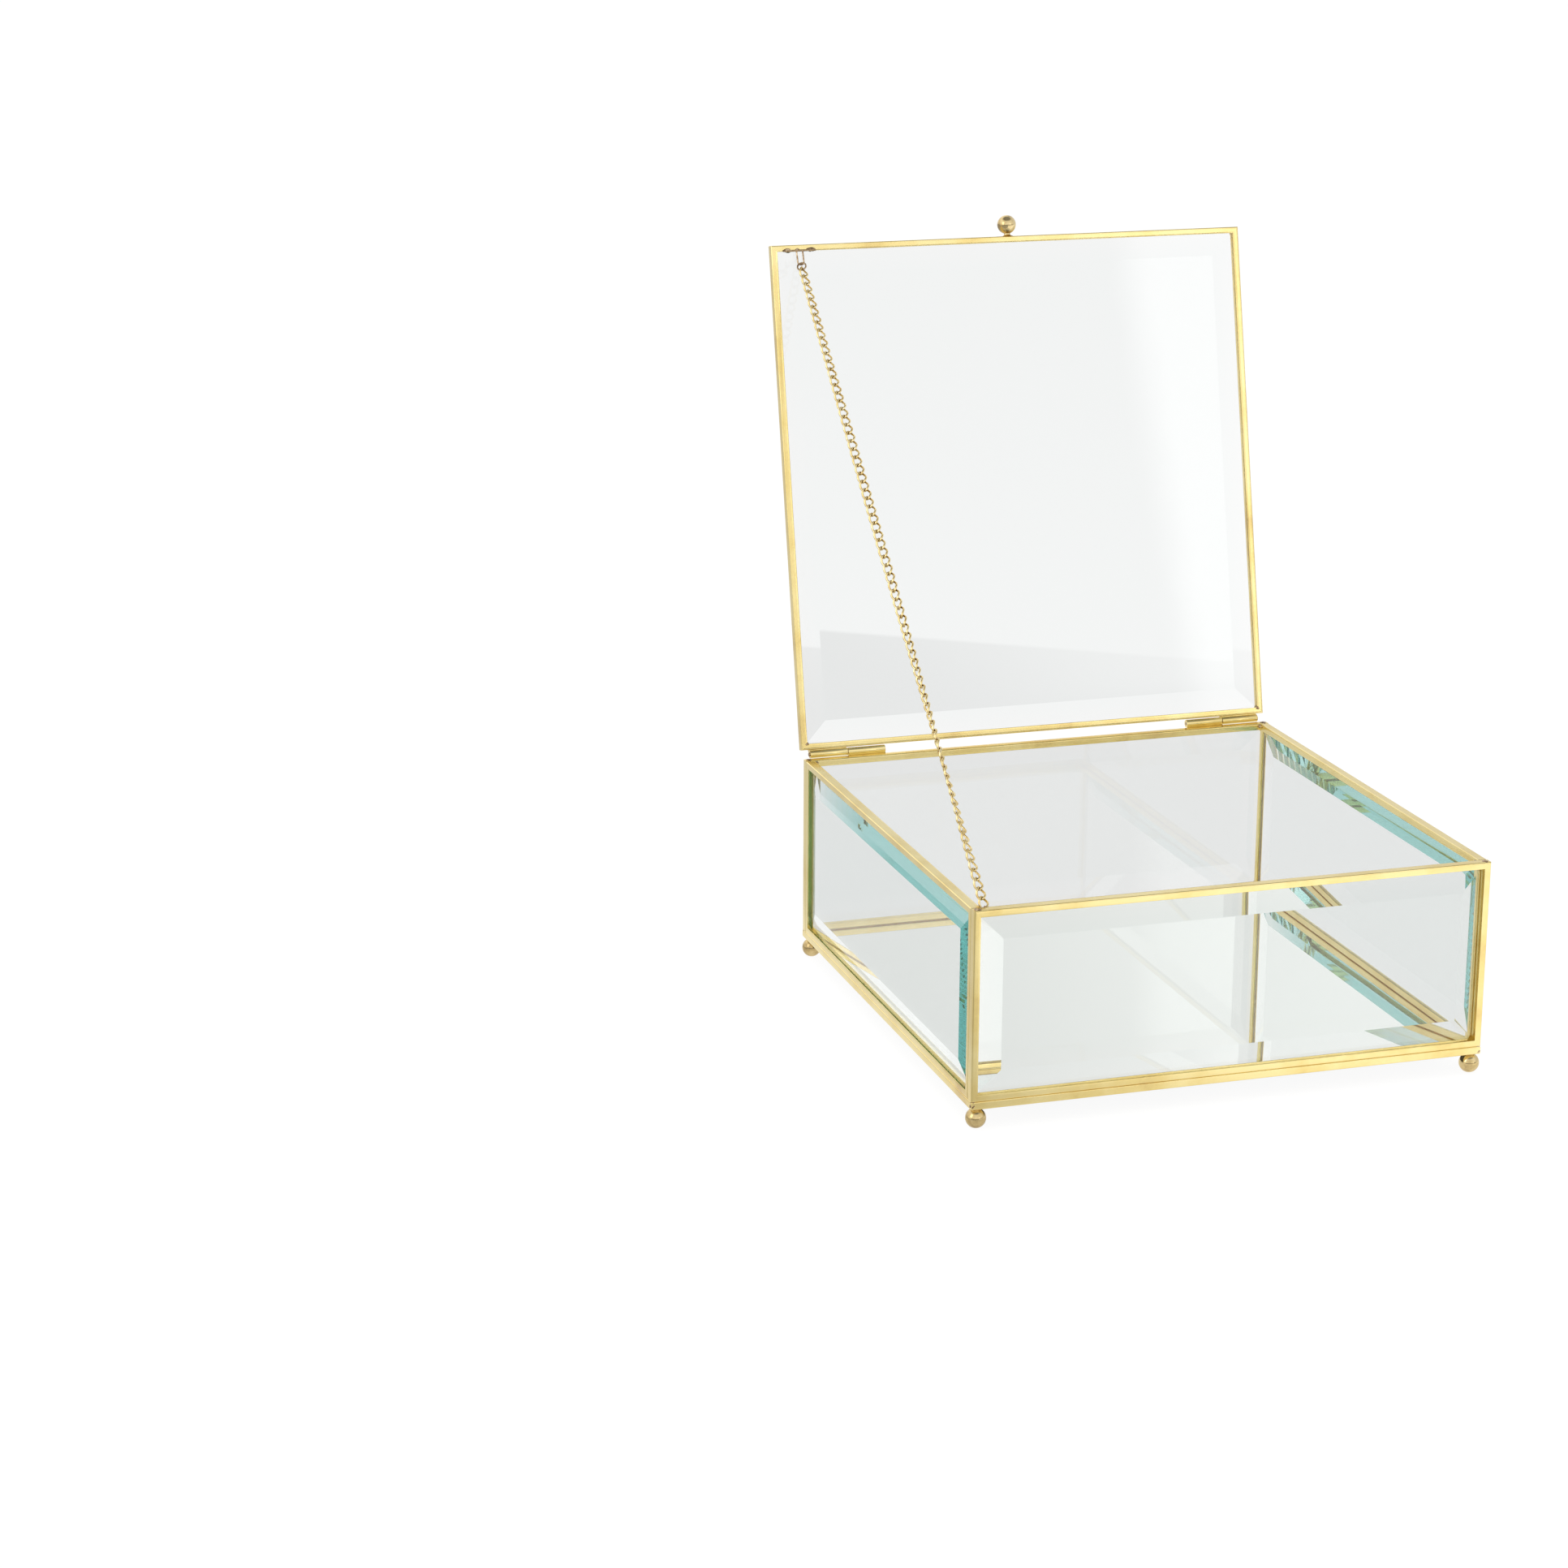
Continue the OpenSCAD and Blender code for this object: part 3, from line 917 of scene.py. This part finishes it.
# %% One twisted link, in millimetres
wire_r = 0.54
link_pitch = 5.1294
overlap = 1.1
half_length = (link_pitch + overlap) / 2
half_width = 1.95
end_twist = radians(45)
short_step = 0.01


def wire_point(t):
    """Where the wire's middle is: along the chain, across it, and out of its face."""
    turn = end_twist * cos(t)
    return Vector((half_length * cos(t), half_width * sin(t) * cos(turn),
                   half_width * sin(t) * sin(turn)))


def add_link(bm, centre, frame_axes, around=26, sides=8):
    """Sweeps a round wire along the twisted oval and adds it to the mesh."""
    rings = []
    for i in range(around):
        t = 2 * pi * i / around
        point = wire_point(t)
        tangent = (wire_point(t + short_step) - wire_point(t - short_step)).normalized()
        outward = (point - tangent * point.dot(tangent)).normalized()
        sideways = tangent.cross(outward)
        ring = []
        for j in range(sides):
            a = 2 * pi * j / sides
            spot = point + (outward * cos(a) + sideways * sin(a)) * wire_r
            ring.append(bm.verts.new((centre + frame_axes @ spot) / 1000))
        rings.append(ring)
    for i in range(around):
        for j in range(sides):
            a, b = rings[i], rings[(i + 1) % around]
            k = (j + 1) % sides
            bm.faces.new((a[j], b[j], b[k], a[k])).smooth = True


print("a link is", round(2 * (half_length + wire_r), 2), "mm long")

# %% [markdown]
# The chain starts at the eye in the corner of the case and runs straight to the lid. It also
# turns slowly about its own line, so it shows its face at mid height and its edge lower down.
# Its turn is read off a short table: how far the chain has turned at some of its links,
# counted from the eye, with the links between them in proportion. Each stretch of five links
# moves as one with the solid that it stands for.

# %% All the links
chain_start = Vector((-119.7, -120.7, 102.6))
chain_line = Vector((0.0191, 0.7786, 0.6272)).normalized()
first_wire = 0.3
run_links = 5
face_out = Vector((-0.3707, -0.5771, 0.7277))
face_out = (face_out - chain_line * face_out.dot(chain_line)).normalized()
face_across = chain_line.cross(face_out)
turn_table = ((0, 158), (4, 134), (8, 115), (14, 92), (22, 62), (41, 0), (54, -14),
              (64, -32), (74, -40.9))


def turn_at(link):
    """How far a link has turned about the chain's line, in radians."""
    for (start, low), (end, high) in zip(turn_table, turn_table[1:]):
        if link <= end:
            return radians(low + (high - low) * (link - start) / (end - start))
    return radians(turn_table[-1][1])


runs = sorted((name for name in nodes if name.startswith("chain_run_")),
              key=lambda name: int(name.split("_")[-1]))
for number, run in enumerate(runs):
    bm = bmesh.new()
    for link in range(number * run_links, (number + 1) * run_links):
        turn = turn_at(link)
        across = face_across * cos(turn) + face_out * sin(turn)
        out = chain_line.cross(across)
        axes = Matrix((chain_line, across, out)).transposed()
        along = first_wire + link * link_pitch + half_length
        add_link(bm, chain_start + chain_line * along, axes)
    links = piece_of(bm, f"curb_links_{number + 1}", gilt)
    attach(links, f"chain_{number + 1}")
    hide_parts(run)
print("links:", len(runs) * run_links)

# %% [markdown]
# The last link hangs in a round jump ring, and the ring hangs in the staple on the lid. It is
# bent from a short piece of wire, so it is not quite round and its two ends meet in a fine
# gap, which faces the lid here. It shows its face to the room.

# %% The jump ring
ring_radius = 2.2
ring_wire = 0.42
gap_at = radians(140)
half_gap = radians(3)
out_of_round = 0.02


def jump_ring(name, centre, long_way, face, radius, wire, around=40, sides=10):
    """A bent ring with a fine gap. long_way and face are the directions it lies by."""
    across = face.cross(long_way).normalized()
    bm = bmesh.new()
    rings = []
    for i in range(around):
        a = gap_at + half_gap + 2 * (pi - half_gap) * i / (around - 1)
        out = long_way * cos(a) + across * sin(a)
        reach = radius * (1 + out_of_round * cos(2 * a + 0.6))
        ring = []
        for j in range(sides):
            b = 2 * pi * j / sides
            spot = centre + out * (reach + wire * cos(b)) + face * wire * sin(b)
            ring.append(bm.verts.new(spot / 1000))
        rings.append(ring)
    for one, two in zip(rings, rings[1:]):
        for j in range(sides):
            k = (j + 1) % sides
            bm.faces.new((one[j], two[j], two[k], one[k])).smooth = True
    for ring in (rings[0], rings[-1]):
        bm.faces.new([bm.verts.new(vertex.co) for vertex in ring])
    bmesh.ops.recalc_face_normals(bm, faces=bm.faces)
    return piece_of(bm, name, solder)


ring_solid = nodes["chain_ring"]
box_middle = sum((Vector(corner) for corner in ring_solid.bound_box), Vector()) / 8
ring_middle = ring_solid.matrix_world @ box_middle * 1000
ring_face = Vector((-0.35, -0.90, 0.25))
ring_face = (ring_face - chain_line * ring_face.dot(chain_line)).normalized()
ring = jump_ring("jump_ring", ring_middle, chain_line, ring_face, ring_radius, ring_wire)
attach(ring, "chain_15")
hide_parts("chain_ring")
print("jump ring at:", [round(v, 1) for v in ring_middle])
